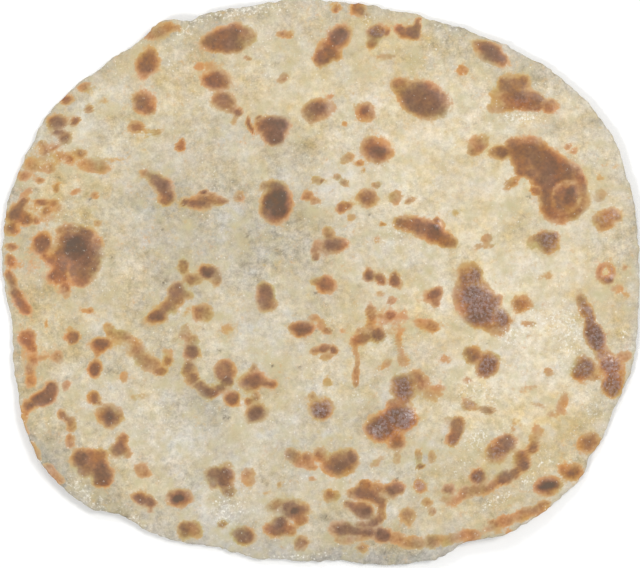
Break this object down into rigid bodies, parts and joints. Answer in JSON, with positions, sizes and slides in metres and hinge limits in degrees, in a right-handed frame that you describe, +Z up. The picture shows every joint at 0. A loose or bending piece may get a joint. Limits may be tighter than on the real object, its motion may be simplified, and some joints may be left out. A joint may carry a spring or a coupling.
{
  "type": "paratha",
  "caption": "Round hand-rolled flat bread with a soft-square outline, a thin blunt rim and low browned blisters, lying flat.",
  "frame": {"origin": "middle of the bread's outline, on the flat underside that it rests on", "axes": "+X along the bread's longer side, +Y across it, +Z up through its thickness, with the browned side up"},
  "size_m": [0.21, 0.187, 0.0058],
  "materials": {
    "baked_dough": "satin, slightly oily, browned in spots"
  },
  "bodies": {
    "root": {"paratha": "baked_dough"}
  },
  "joints": []
}
